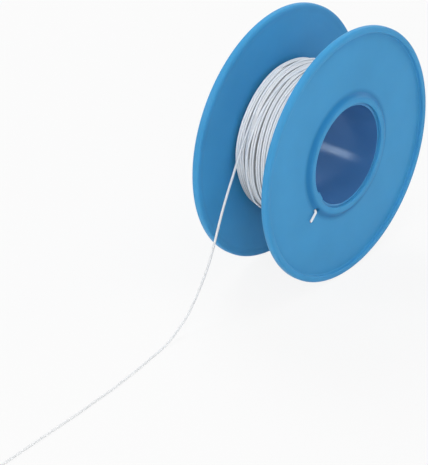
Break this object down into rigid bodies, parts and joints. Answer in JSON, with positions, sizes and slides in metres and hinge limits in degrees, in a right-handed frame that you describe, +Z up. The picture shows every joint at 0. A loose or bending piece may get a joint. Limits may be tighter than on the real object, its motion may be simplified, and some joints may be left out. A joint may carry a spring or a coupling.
{
  "type": "wire reel",
  "caption": "Flanged plastic reel wound with thin insulated hook-up wire, with a through bore for a spindle and the wire's free end laid out beside it.",
  "frame": {"origin": "middle of the reel's through bore, on the axis that the reel turns about", "axes": "+Z up as the reel stands on its rims, +Y along the bore out of the rear flange, so the front flange looks towards -Y; the free wire leaves towards -X"},
  "size_m": [0.1642, 0.0226, 0.064],
  "materials": {
    "reel_plastic": "satin moulded",
    "hub_plastic": "polished moulded",
    "wire_insulation": "smooth extruded",
    "conductor": "bare drawn copper"
  },
  "bodies": {
    "wire_end": {"free_wire": "wire_insulation", "free_wire_conductor": "conductor"},
    "reel": {"front_flange": "reel_plastic", "rear_flange": "reel_plastic", "hub_tube": "hub_plastic", "inner_winding": "wire_insulation", "outer_turns": "wire_insulation", "start_tail": "wire_insulation", "start_tail_conductor": "conductor"}
  },
  "joints": [
    {"name": "reel_spin", "type": "hinge", "parent": "wire_end", "child": "reel", "pos_m": [0, 0, 0], "axis": [0, -1, 0], "continuous": true}
  ]
}
